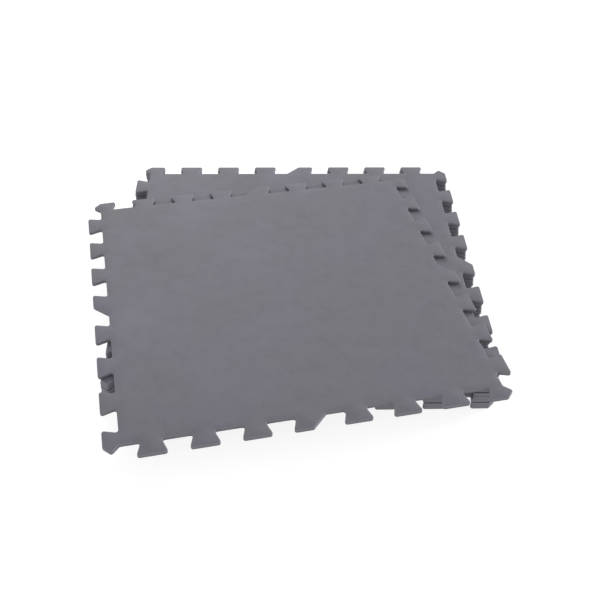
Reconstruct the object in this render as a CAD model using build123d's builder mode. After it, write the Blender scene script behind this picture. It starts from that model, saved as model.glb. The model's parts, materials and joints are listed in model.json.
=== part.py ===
from build123d import *
import math
import os

# A set of eight interlocking foam blocking mats. Seven lie in a square stack, and the eighth lies on
# top, turned a little, so that its front left corner hangs over the edge of the stack.
# The origin is the middle of the bottom mat's underside. +Z is up, and -Y is the front.

# ---- driving dimensions (mm) ----
mat_side = 500.0  # the distance at which joined mats repeat
mat_thickness = 6.0
teeth_per_side = 8
stacked_mats = 7

tooth_half_depth = 10.0  # teeth stand out, and gaps cut in, by this much from the nominal side
dovetail_flare = 3.3  # how far each flank leans outwards from the neck to the tip, halved
corner_radius = 3.0  # the cutting die's rounded corners

stack_slip = 0.7  # how far a stacked mat may lie off its true place, as hand-stacked mats do
stack_turn = 0.1  # degrees, the same for turning

top_centre_x = -28.0
top_centre_y = -70.0
top_turn = 10.2  # degrees, anticlockwise seen from above

# ---- worked out ----
pitch = mat_side / teeth_per_side  # one tooth and one gap
half_side = mat_side / 2
middle_tooth = teeth_per_side // 2


def edge_points():
    """One edge's corners, left to right, as (distance along the edge, distance outwards)."""
    depth = tooth_half_depth
    flare = dovetail_flare
    points = [(0, 0), (depth, -depth)]
    for tooth in range(1, teeth_per_side + 1):
        near = (tooth - 0.5) * pitch
        far = tooth * pitch
        points += [(near + flare, -depth), (near - flare, depth)]
        if tooth == middle_tooth:  # its far side slopes through the middle of the edge
            points += [(far - depth, depth), (far + depth, -depth)]
        elif tooth == teeth_per_side:  # the corner tooth slopes back to the mat's corner
            points += [(far - depth, depth)]
        else:
            points += [(far + flare, depth), (far - flare, -depth)]
    return points


def outline_points():
    """The whole outline, anticlockwise: the same edge four times, a quarter turn apart."""
    points = []
    for side in range(4):
        for along, outwards in edge_points():
            corner = Vector(along - half_side, -half_side - outwards)
            points.append(corner.rotate(Axis.Z, 90 * side))
    return points


def hand_stacked(level):
    """Where a stacked mat lies: (x, y, turn). The bottom one is true, the others off by a little."""
    swing = 2.4 * level  # radians, so that each level is off in another direction
    x = stack_slip * math.sin(swing)
    y = stack_slip * math.sin(1.7 * swing)
    return x, y, stack_turn * math.sin(2.3 * swing)


# ---- the outline that every mat is cut to ----
with BuildSketch() as mat_outline:
    with BuildLine():
        Polyline(*outline_points(), close=True)
    make_face()
    fillet(mat_outline.vertices(), radius=corner_radius)

# ---- the mats ----
placings = [hand_stacked(level) for level in range(stacked_mats)]
placings.append((top_centre_x, top_centre_y, top_turn))
names = [f"stack_mat_{level + 1}" for level in range(stacked_mats)] + ["top_mat"]

os.makedirs("parts", exist_ok=True)

for level, (name, (x, y, turn)) in enumerate(zip(names, placings)):
    mat_plane = Plane.XY.offset(level * mat_thickness).move(Location((x, y, 0), (0, 0, turn)))
    with BuildPart(mat_plane) as mat:
        add(mat_outline.sketch)
        extrude(amount=mat_thickness)
    mat.part.label = name
    export_step(mat.part, f"parts/{name}.step")
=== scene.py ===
import json
import math

import bpy
from bpy.props import FloatProperty, FloatVectorProperty, IntProperty, PointerProperty
from mathutils import Matrix, Vector, noise
from mathutils.geometry import delaunay_2d_cdt


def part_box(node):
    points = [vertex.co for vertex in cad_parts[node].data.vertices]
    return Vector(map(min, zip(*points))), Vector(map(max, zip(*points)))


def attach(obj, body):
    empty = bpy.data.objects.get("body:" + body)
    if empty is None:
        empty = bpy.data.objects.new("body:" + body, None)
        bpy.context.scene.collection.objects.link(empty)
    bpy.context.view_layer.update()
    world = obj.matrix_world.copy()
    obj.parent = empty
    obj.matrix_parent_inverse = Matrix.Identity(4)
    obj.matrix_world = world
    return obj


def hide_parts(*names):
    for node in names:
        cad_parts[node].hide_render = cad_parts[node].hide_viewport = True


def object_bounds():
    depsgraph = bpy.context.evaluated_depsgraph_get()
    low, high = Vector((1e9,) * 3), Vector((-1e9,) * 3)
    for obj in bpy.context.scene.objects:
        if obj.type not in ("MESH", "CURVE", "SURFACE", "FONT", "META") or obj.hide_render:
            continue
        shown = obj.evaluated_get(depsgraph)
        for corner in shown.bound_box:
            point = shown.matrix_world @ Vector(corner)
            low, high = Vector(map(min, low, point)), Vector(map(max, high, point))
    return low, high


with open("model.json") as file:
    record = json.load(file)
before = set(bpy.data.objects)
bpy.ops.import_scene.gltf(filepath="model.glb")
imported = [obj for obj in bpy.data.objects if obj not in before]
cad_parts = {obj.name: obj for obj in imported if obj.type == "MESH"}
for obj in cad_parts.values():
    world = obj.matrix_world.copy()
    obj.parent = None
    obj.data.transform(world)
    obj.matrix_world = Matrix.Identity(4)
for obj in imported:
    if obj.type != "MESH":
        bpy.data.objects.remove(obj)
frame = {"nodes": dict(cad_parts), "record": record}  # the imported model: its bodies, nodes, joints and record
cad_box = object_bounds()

bl_info = {
    "name": "Blocking mats",
    "version": (1, 0, 0),
    "blender": (4, 5, 0),
    "location": "3D View > Sidebar > Mats",
    "description": "Foam mats with toothed edges, in a stack, with one laid askew on top",
    "category": "Object",
}

MM = 0.001
BODIES = frame["record"]["behaviour"]["bodies"]
BODY_OF = {node: body for body, nodes in BODIES.items() for node in nodes}
STACK = sorted(node for node in frame["nodes"] if node.startswith("stack_mat"))
TOP = "top_mat"
BOTTOM_LOW, BOTTOM_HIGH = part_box(STACK[0])
MAT_THICKNESS = BOTTOM_HIGH.z - BOTTOM_LOW.z

# Distances between the points of a mat's mesh.
EDGE_SPACING = 6 * MM  # along the straight runs of the outline
TOP_GRID = 9 * MM  # on the top mat, which bends
SHOWN_GRID = 12 * MM  # on the uppermost mat of the stack
HIDDEN_GRID = 60 * MM  # on the mats below it, whose faces are covered

FACE_GAP = 0.05 * MM  # taken off each face, so that two touching faces never share a plane
DROOP_REACH = 100 * MM  # how far out from the stack the droop is measured
SHOULDER_CHANGES = 30  # per metre of edge
FACE_SWELLS = 9  # per metre of face
FLOOR_SIZE = 12  # metres, so that its edges are lost in the white walls


def linear(hex_colour):
    """An sRGB hex colour, such as "7c7b83", as linear red, green and blue."""
    levels = [int(hex_colour[i:i + 2], 16) / 255 for i in (0, 2, 4)]
    return [c / 12.92 if c <= 0.04045 else ((c + 0.055) / 1.055) ** 2.4 for c in levels]


# ---- settings ----
class CutSettings(bpy.types.PropertyGroup):
    """The shape that the mats are cut to. Its sizes are the CAD model's."""

    teeth: IntProperty(name="Teeth", description="Teeth on each side of a mat", default=8, min=2)
    tooth_half_depth: FloatProperty(
        name="Half depth of teeth", description="How far teeth stand out from the nominal side",
        default=10 * MM, unit="LENGTH")
    flare: FloatProperty(
        name="Dovetail flare", description="How far each flank leans outwards at the tip",
        default=3.3 * MM, unit="LENGTH")
    corner_radius: FloatProperty(
        name="Corner radius", description="Radius of the cutting die's corners",
        default=3 * MM, unit="LENGTH")
    upper_shoulder: FloatProperty(
        name="Upper shoulder", description="Radius that the die's pressure leaves on the upper rim",
        default=1.5 * MM, unit="LENGTH")
    lower_shoulder: FloatProperty(
        name="Lower shoulder", description="Radius of the lower rim",
        default=1.2 * MM, unit="LENGTH")
    shoulder_change: FloatProperty(
        name="Shoulder change", description="How much narrower the shoulder gets along the edge",
        default=0.3, subtype="FACTOR")
    wave: FloatProperty(
        name="Wave", description="Height of the soft swells on a mat's faces",
        default=0.12 * MM, unit="LENGTH")
    droop: FloatProperty(
        name="Droop", description="How far the top mat hangs down, 100 mm out from the stack",
        default=4 * MM, unit="LENGTH")


class FoamSettings(bpy.types.PropertyGroup):
    """Colours of the grey foam."""

    skin: FloatVectorProperty(
        name="Skin", description="The moulded faces", subtype="COLOR", default=linear("6d6b76"))
    skin_warm: FloatVectorProperty(
        name="Skin, warm patches", description="The slightly warmer grey that mottles the faces",
        subtype="COLOR", default=linear("6f6e74"))
    # Painted highlight: the paler colour along the upper rims. The pale scuffs use the same colour.
    rim: FloatVectorProperty(
        name="Rim", description="The paler, stretched rim beside a cut", subtype="COLOR",
        default=linear("787780"))
    cut: FloatVectorProperty(
        name="Cut edge", description="The open foam of the cut walls", subtype="COLOR",
        default=linear("706f75"))
    pore: FloatVectorProperty(
        name="Pores", description="The shaded cells in the cut walls", subtype="COLOR",
        default=linear("555459"))
    # Painted shade: the dark band under the lower rims, in the seam where the mats meet.
    painted_seam_shade: FloatVectorProperty(
        name="Dust", description="The dark dust under the lower rims", subtype="COLOR",
        default=linear("3a393d"))


class StudioSettings(bpy.types.PropertyGroup):
    """The floor, the lights and the camera."""

    floor: FloatVectorProperty(
        name="Floor", description="The pale floor", subtype="COLOR", default=linear("929293"))
    floor_glow: FloatProperty(
        name="Floor glow", description="How brightly the floor is lit from below", default=0.83)
    walls: FloatProperty(name="Walls", description="Brightness of the studio's walls", default=1.05)
    ceiling: FloatProperty(
        name="Ceiling", description="Brightness of the studio's ceiling", default=0.62)
    lens: FloatProperty(
        name="Lens", description="Focal length on a 36 mm sensor", default=52.27, unit="CAMERA")
    distance: FloatProperty(
        name="Distance", description="From the camera to the floor along its axis",
        default=1.2926, unit="LENGTH")
    aim: FloatVectorProperty(
        name="Aim", description="Where the camera's axis meets the floor", size=3,
        default=(0.0027, -0.0403, 0.0), unit="LENGTH")
    elevation: FloatProperty(
        name="Elevation", description="The camera's height above the horizon",
        default=math.radians(40.78), unit="ROTATION")
    azimuth: FloatProperty(
        name="Azimuth", description="The camera's turn round the mats",
        default=math.radians(-3.08), unit="ROTATION")
    roll: FloatProperty(
        name="Roll", description="The camera's lean to its own right",
        default=math.radians(1.75), unit="ROTATION")


# ---- the mats' shape ----
def edge_corners(cut, side):
    """One edge's corners, left to right, as (distance along the edge, distance outwards)."""
    pitch = side / cut.teeth
    depth, flare = cut.tooth_half_depth, cut.flare
    corners = [(0, 0), (depth, -depth)]
    for tooth in range(1, cut.teeth + 1):
        near, far = (tooth - 0.5) * pitch, tooth * pitch
        corners += [(near + flare, -depth), (near - flare, depth)]
        if tooth == cut.teeth // 2:  # its far side slopes through the middle of the edge
            corners += [(far - depth, depth), (far + depth, -depth)]
        elif tooth == cut.teeth:  # the corner tooth slopes back to the mat's corner
            corners += [(far - depth, depth)]
        else:
            corners += [(far + flare, depth), (far - flare, -depth)]
    return corners


def mat_corners(cut, side):
    """The whole outline's corners, anticlockwise, about the mat's centre."""
    corners = []
    for quarter in range(4):
        turn = Matrix.Rotation(quarter * math.pi / 2, 2)
        for along, outwards in edge_corners(cut, side):
            corners.append(turn @ Vector((along - side / 2, -side / 2 - outwards)))
    return corners


def rounded(corners, radius, spacing, arc_steps=5):
    """The outline with an arc at each corner, and its straight runs divided."""
    arcs = []
    for i, corner in enumerate(corners):
        to_last = (corners[i - 1] - corner).normalized()
        to_next = (corners[(i + 1) % len(corners)] - corner).normalized()
        half_angle = to_last.angle(to_next) / 2
        centre = corner + (to_last + to_next).normalized() * radius / math.sin(half_angle)
        start = corner + to_last * radius / math.tan(half_angle) - centre
        end = corner + to_next * radius / math.tan(half_angle) - centre
        sweep = start.angle_signed(end)  # clockwise is positive
        turns = [Matrix.Rotation(-sweep * k / arc_steps, 2) for k in range(arc_steps + 1)]
        arcs.append([centre + turn @ start for turn in turns])
    points = []
    for i, arc in enumerate(arcs):
        points += arc
        run = arcs[(i + 1) % len(arcs)][0] - arc[-1]
        pieces = max(1, round(run.length / spacing))
        points += [arc[-1] + run * k / pieces for k in range(1, pieces)]
    return points


def inward_normals(loop):
    """The way in from each point of an anticlockwise loop."""
    normals = []
    for i in range(len(loop)):
        along = (loop[(i + 1) % len(loop)] - loop[i - 1]).normalized()
        normals.append(Vector((-along.y, along.x)))
    return normals


def face_triangles(loop, grid, margin, side):
    """Triangles that fill the loop, with a grid of points inside it: (grid points, faces)."""
    reach = side / 2 - margin
    count = int(2 * reach / grid)
    steps = [-reach + 2 * reach * k / count for k in range(count + 1)]
    inside = [Vector((x, y)) for x in steps for y in steps]
    fill_loop, tolerance = 1, 1e-7
    found = delaunay_2d_cdt(loop + inside, [], [list(range(len(loop)))], fill_loop, tolerance)
    source = [ids[0] for ids in found[3]]
    return inside, [[source[v] for v in face] for face in found[2]]


def wall_profile(cut, thickness):
    """Rings down a cut edge, from the top face to the underside: (inset, height, rim, seam)."""
    rings = []
    # rim: how much painted highlight each upper ring gets
    for degrees, rim in ((0, 0.0), (25, 0.6), (45, 1.0), (65, 0.8), (90, 0.2)):
        angle = math.radians(degrees)
        inset = cut.upper_shoulder * (1 - math.sin(angle))
        rings.append((inset, thickness - cut.upper_shoulder * (1 - math.cos(angle)), rim, 0.0))
    # seam: how much painted shade each lower ring gets
    for degrees, seam in ((90, 0.0), (60, 0.6), (30, 1.0), (0, 1.0)):
        angle = math.radians(degrees)
        inset = cut.lower_shoulder * (1 - math.sin(angle))
        rings.append((inset, cut.lower_shoulder * (1 - math.cos(angle)), 0.0, seam))
    return rings


def turn_of(node, centre, corners):
    """A mat's turn about +Z, from its furthest corner. A quarter turn changes nothing."""
    reach = max(corners, key=lambda c: c.length)
    outer = max(frame["nodes"][node].data.vertices, key=lambda v: (v.co.xy - centre).length).co.xy - centre
    turn = math.atan2(outer.y, outer.x) - math.atan2(reach.y, reach.x)
    quarter = math.pi / 2
    return (turn + quarter / 2) % quarter - quarter / 2


def droop_at(place, stack_low, stack_high, amount):
    """How far the foam hangs down at a place beyond the stack's edge: nothing over the stack."""
    beyond_x = max(stack_low.x - place.x, place.x - stack_high.x, 0)
    beyond_y = max(stack_low.y - place.y, place.y - stack_high.y, 0)
    return amount * (beyond_x ** 2 + beyond_y ** 2) / DROOP_REACH ** 2


def make_mat(node, cut, grid, hangs):
    """One foam mat, in place of its CAD solid. grid is the spacing of the points on its faces."""
    low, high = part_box(node)
    centre = Vector((low.x + high.x, low.y + high.y)) / 2
    side = BOTTOM_HIGH.x - BOTTOM_LOW.x - 2 * cut.tooth_half_depth
    corners = mat_corners(cut, side)
    turn = Matrix.Rotation(turn_of(node, centre, corners), 2)
    loop = rounded(corners, cut.corner_radius, EDGE_SPACING)
    inwards = inward_normals(loop)
    thickness = MAT_THICKNESS - 2 * FACE_GAP

    points, rims, seams = [], [], []
    profile = wall_profile(cut, thickness)
    for inset, height, rim, seam in profile:
        for p, n in zip(loop, inwards):
            change = 0.5 + 0.5 * noise.noise(Vector((p.x, p.y, low.z * 40)) * SHOULDER_CHANGES)
            points.append((*(p + n * inset * (1 - cut.shoulder_change * change)), height))
            rims.append(rim)
            seams.append(seam)
    count = len(loop)
    faces = []
    for ring in range(len(profile) - 1):
        for i in range(count):
            j = (i + 1) % count
            upper, lower = ring * count, (ring + 1) * count
            faces.append((upper + i, lower + i, lower + j, upper + j))
    wall_faces = len(faces)

    for is_top in (True, False):
        ring = 0 if is_top else (len(profile) - 1) * count
        height = thickness if is_top else 0.0
        edge = [Vector(points[ring + i][:2]) for i in range(count)]
        inside, triangles = face_triangles(edge, grid, 2 * cut.tooth_half_depth, side)
        first = len(points)
        points += [(p.x, p.y, height) for p in inside]
        rims += [0.0] * len(inside)
        seams += [0.0] * len(inside)
        at = [ring + i if i < count else first + i - count for i in range(count + len(inside))]
        faces += [[at[v] for v in (t if is_top else reversed(t))] for t in triangles]

    stack_low, stack_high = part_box(STACK[-1])
    placed = []
    for x, y, z in points:
        place = turn @ Vector((x, y)) + centre
        swell = noise.noise(Vector((place.x, place.y, low.z * 50)) * FACE_SWELLS) - 1
        dip = cut.wave * swell * z / thickness
        drop = droop_at(place, stack_low, stack_high, cut.droop) if hangs else 0
        placed.append((place.x, place.y, low.z + FACE_GAP + z + dip - drop))

    mesh = bpy.data.meshes.new(node + "_foam")
    mesh.from_pydata(placed, [], faces)
    mesh.validate()
    mesh.materials.append(bpy.data.materials["EVA foam, moulded skin"])
    mesh.materials.append(bpy.data.materials["EVA foam, die-cut edge"])
    for i, polygon in enumerate(mesh.polygons):  # the wall's first and last bands are still skin
        polygon.use_smooth = True
        polygon.material_index = 1 if count <= i < wall_faces - count else 0
    for name, values in (("rim", rims), ("seam", seams)):
        mesh.attributes.new(name, "FLOAT", "POINT").data.foreach_set("value", values)

    mat = bpy.data.objects.new(node + "_foam", mesh)
    bpy.context.scene.collection.objects.link(mat)
    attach(mat, BODY_OF[node])
    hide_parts(node)
    return mat


# ---- materials ----
def add_node(tree, kind, sockets=None, **properties):
    """Adds a node. sockets maps an input's name or number to its value or to the output that feeds it."""
    node = tree.nodes.new("ShaderNode" + kind)
    for name, value in properties.items():
        setattr(node, name, value)
    for key, value in (sockets or {}).items():
        if isinstance(value, bpy.types.NodeSocket):
            tree.links.new(value, node.inputs[key])
        else:
            node.inputs[key].default_value = value
    return node


def new_material(name):
    """An empty node material: (its tree, its surface shader)."""
    material = bpy.data.materials.new(name)
    material.use_nodes = True
    return material.node_tree, material.node_tree.nodes["Principled BSDF"]


def per_metre(size_mm):
    """A texture's scale, so that its pattern repeats about every size_mm."""
    return 1 / (size_mm * MM)


def spread(tree, source, low, high, to_low=0.0, to_high=1.0):
    """Stretches the values between low and high to new limits."""
    return add_node(tree, "MapRange", {
        "Value": source, "From Min": low, "From Max": high, "To Min": to_low, "To Max": to_high,
    }).outputs["Result"]


def blended(tree, amount, first, second):
    """A colour between two colours. Each is linear red, green and blue, or an output."""
    sockets = {0: amount}
    for key, value in ((6, first), (7, second)):
        sockets[key] = value if isinstance(value, bpy.types.NodeSocket) else (*value, 1.0)
    return add_node(tree, "Mix", sockets, data_type="RGBA").outputs[2]


def make_skin(foam):
    """Closed-cell EVA foam with its moulded skin: matt, fine grained, faintly mottled and scuffed."""
    tree, shader = new_material("EVA foam, moulded skin")
    place = add_node(tree, "TexCoord").outputs["Object"]

    # The foam cools unevenly in its block, which leaves broad patches a shade apart.
    patches = add_node(tree, "TexNoise", {"Vector": place, "Scale": per_metre(80), "Detail": 2.0})
    base = blended(tree, spread(tree, patches.outputs[0], 0.4, 0.6), foam.skin, foam.skin_warm)

    # Mats slid over each other are left with faint pale scuffs, far longer than wide.
    along = add_node(tree, "Mapping", {"Vector": place, "Rotation": (0, 0, 0.5), "Scale": (1, 3, 1)})
    scuffs = add_node(tree, "TexNoise", {
        "Vector": along.outputs[0], "Scale": per_metre(95), "Detail": 5.0, "Roughness": 0.6})
    scuffed = spread(tree, scuffs.outputs[0], 0.6, 0.8, 0.0, 0.2)
    base = blended(tree, scuffed, base, foam.rim)

    # Hands and feet leave faint darker marks of a fingertip's size.
    marks = add_node(tree, "TexNoise", {
        "Vector": place, "Scale": per_metre(24), "Detail": 4.0, "Roughness": 0.7})
    base = blended(tree, spread(tree, marks.outputs[0], 0.45, 0.75, 0.0, 0.3), base, foam.pore)

    # Dust and burst cells are dark specks 2 to 3 mm across, a few to a hand's width.
    specks = add_node(tree, "TexVoronoi", {"Vector": place, "Scale": per_metre(42)})
    base = blended(tree, spread(tree, specks.outputs["Distance"], 0.02, 0.045, 0.3, 0.0), base, foam.pore)

    # Beside a cut the skin is painted paler: a painted highlight along the upper rim.
    rim = add_node(tree, "Attribute", attribute_name="rim").outputs["Fac"]
    base = blended(tree, rim, base, foam.rim)

    # The mould's grain is 0.8 mm. It is drawn at 2.4 mm, because the real one is too fine to show.
    grain = add_node(tree, "TexNoise", {
        "Vector": place, "Scale": per_metre(2.4), "Detail": 3.0, "Roughness": 0.55})
    bump = add_node(tree, "Bump", {"Height": grain.outputs[0], "Distance": 0.12 * MM, "Strength": 0.6})
    dents = add_node(tree, "TexNoise", {"Vector": place, "Scale": per_metre(28), "Detail": 1.0})
    bump = add_node(tree, "Bump", {
        "Height": dents.outputs[0], "Normal": bump.outputs[0], "Distance": 0.5 * MM, "Strength": 0.5})

    tree.links.new(base, shader.inputs["Base Color"])
    tree.links.new(spread(tree, patches.outputs[0], 0.3, 0.7, 0.66, 0.78), shader.inputs["Roughness"])
    tree.links.new(bump.outputs[0], shader.inputs["Normal"])
    shader.inputs["IOR"].default_value = 1.48


def make_cut_edge(foam):
    """The same foam where the die cut it: open cells, so it is rougher and drinks the light."""
    tree, shader = new_material("EVA foam, die-cut edge")
    place = add_node(tree, "TexCoord").outputs["Object"]

    # The cells are 0.3 mm. They are drawn at 1 mm, because the real ones are too fine to show.
    cells = add_node(tree, "TexVoronoi", {"Vector": place, "Scale": per_metre(1.0)})
    base = blended(tree, spread(tree, cells.outputs["Distance"], 0.25, 0.75, 0.0, 0.5), foam.cut, foam.pore)

    # The knife leaves shades that change from place to place along the cut.
    shades = add_node(tree, "TexNoise", {"Vector": place, "Scale": per_metre(22), "Detail": 2.0})
    base = blended(tree, spread(tree, shades.outputs[0], 0.35, 0.7, 0.0, 0.25), base, foam.pore)

    # The upper shoulder is skin that the die pulled down over the cut, closer than the foam, and painted paler:
    # a painted highlight along the rim. The lower one is painted dark: painted shade in the seam where the mats
    # meet.
    rim = add_node(tree, "Attribute", attribute_name="rim").outputs["Fac"]
    base = blended(tree, rim, base, foam.rim)
    seam = add_node(tree, "Attribute", attribute_name="seam").outputs["Fac"]
    base = blended(tree, seam, base, foam.painted_seam_shade)

    bump = add_node(tree, "Bump", {
        "Height": cells.outputs["Distance"], "Distance": 0.15 * MM, "Strength": 0.7})
    tree.links.new(base, shader.inputs["Base Color"])
    tree.links.new(spread(tree, rim, 0.0, 1.0, 0.88, 0.6), shader.inputs["Roughness"])
    tree.links.new(bump.outputs[0], shader.inputs["Normal"])
    shader.inputs["IOR"].default_value = 1.48


def make_floor_acrylic(studio):
    """Opal acrylic sheet, cast, sanded and lit from below: white, with only weak shadows on it."""
    tree, shader = new_material("Opal acrylic, sanded")
    place = add_node(tree, "TexCoord").outputs["Object"]
    haze = add_node(tree, "TexNoise", {"Vector": place, "Scale": per_metre(300), "Detail": 2.0})
    shade = [0.98 * c for c in studio.floor]
    tree.links.new(blended(tree, haze.outputs[0], studio.floor, shade), shader.inputs["Base Color"])
    shader.inputs["Roughness"].default_value = 0.8
    shader.inputs["Emission Color"].default_value = (1, 1, 1, 1)
    shader.inputs["Emission Strength"].default_value = studio.floor_glow


def make_studio_air(studio):
    """White walls all round, which fade into a dimmer ceiling."""
    world = bpy.data.worlds.new("studio_air")
    world.use_nodes = True
    tree = world.node_tree
    sky = add_node(tree, "SeparateXYZ", {"Vector": add_node(tree, "TexCoord").outputs["Generated"]})
    wall_top, ceiling_edge = 0.1, 0.4  # as the sine of the angle above the horizon
    strength = spread(tree, sky.outputs["Z"], wall_top, ceiling_edge, studio.walls, studio.ceiling)
    background = tree.nodes["Background"]
    background.inputs["Color"].default_value = (1, 1, 1, 1)
    tree.links.new(strength, background.inputs["Strength"])
    return world


# ---- the operators ----
class MATS_OT_foam(bpy.types.Operator):
    """Make the two foam materials"""

    bl_idname = "mats.foam"
    bl_label = "Foam materials"

    def execute(self, context):
        make_skin(context.scene.mats_foam)
        make_cut_edge(context.scene.mats_foam)
        return {"FINISHED"}


class MATS_OT_stack(bpy.types.Operator):
    """Make the mats of the neat stack"""

    bl_idname = "mats.stack"
    bl_label = "Stacked mats"

    def execute(self, context):
        for node in STACK:
            grid = SHOWN_GRID if node == STACK[-1] else HIDDEN_GRID
            make_mat(node, context.scene.mats_cut, grid, hangs=False)
        return {"FINISHED"}


class MATS_OT_top(bpy.types.Operator):
    """Make the mat that lies askew on the stack"""

    bl_idname = "mats.top"
    bl_label = "Top mat"

    def execute(self, context):
        make_mat(TOP, context.scene.mats_cut, TOP_GRID, hangs=True)
        return {"FINISHED"}


class MATS_OT_studio(bpy.types.Operator):
    """Make the floor, the lights and the camera"""

    bl_idname = "mats.studio"
    bl_label = "Studio"

    def execute(self, context):
        studio = context.scene.mats_studio
        make_floor_acrylic(studio)
        bpy.ops.mesh.primitive_plane_add(size=FLOOR_SIZE, location=(0, 0, cad_box[0].z))
        floor = context.object
        floor.name = "floor"
        floor.data.materials.append(bpy.data.materials["Opal acrylic, sanded"])

        context.scene.world = make_studio_air(studio)
        context.scene.view_settings.view_transform = "Standard"

        # name, place, watts, size: a soft key behind on the left, low fills that reach into the
        # notches, and a kicker just above the floor that catches the rims on the right
        lamps = [
            ("key", Vector((-0.5, 1.9, 1.3)), 24, 0.9),
            ("fill_left", Vector((-2.2, -1.9, 0.7)), 8, 1.2),
            ("fill_right", Vector((2.6, -1.7, 0.6)), 8, 1.2),
            ("kicker", Vector((3.6, 1.3, 0.5)), 125, 0.8),
        ]
        for name, place, watts, size in lamps:
            light = bpy.data.lights.new(name, "AREA")
            light.energy, light.size = watts, size
            lamp = bpy.data.objects.new(name, light)
            lamp.location = place
            lamp.rotation_euler = (-place).to_track_quat("-Z", "Y").to_euler()
            context.scene.collection.objects.link(lamp)

        camera = bpy.data.objects.new("camera", bpy.data.cameras.new("camera"))
        camera.data.lens = studio.lens
        sight = Vector((
            -math.sin(studio.azimuth) * math.cos(studio.elevation),
            math.cos(studio.azimuth) * math.cos(studio.elevation),
            -math.sin(studio.elevation)))
        camera.rotation_mode = "QUATERNION"
        lean = Matrix.Rotation(studio.roll, 3, -sight).to_quaternion()
        camera.rotation_quaternion = lean @ sight.to_track_quat("-Z", "Y")
        camera.location = Vector(studio.aim) - sight * studio.distance
        context.scene.collection.objects.link(camera)
        context.scene.camera = camera
        return {"FINISHED"}


class MATS_PT_panel(bpy.types.Panel):
    """The mats' settings and the buttons that make them."""

    bl_label = "Mats"
    bl_idname = "MATS_PT_panel"
    bl_space_type = "VIEW_3D"
    bl_region_type = "UI"
    bl_category = "Mats"

    def draw(self, context):
        for group in (context.scene.mats_cut, context.scene.mats_foam, context.scene.mats_studio):
            box = self.layout.box()
            for name in group.__annotations__:
                box.prop(group, name)
        for operator in OPERATORS:
            self.layout.operator(operator.bl_idname)


OPERATORS = (MATS_OT_foam, MATS_OT_stack, MATS_OT_top, MATS_OT_studio)
SETTINGS = {"mats_cut": CutSettings, "mats_foam": FoamSettings, "mats_studio": StudioSettings}
CLASSES = (*SETTINGS.values(), *OPERATORS, MATS_PT_panel)


def register():
    """Add the settings, operators and panel."""
    for kind in CLASSES:
        bpy.utils.register_class(kind)
    for name, kind in SETTINGS.items():
        setattr(bpy.types.Scene, name, PointerProperty(type=kind))


def unregister():
    """Take them away again."""
    for name in SETTINGS:
        delattr(bpy.types.Scene, name)
    for kind in reversed(CLASSES):
        bpy.utils.unregister_class(kind)


def main():
    """Make everything."""
    register()
    bpy.ops.mats.foam()
    bpy.ops.mats.stack()
    bpy.ops.mats.top()
    bpy.ops.mats.studio()


if __name__ == "__main__":
    main()
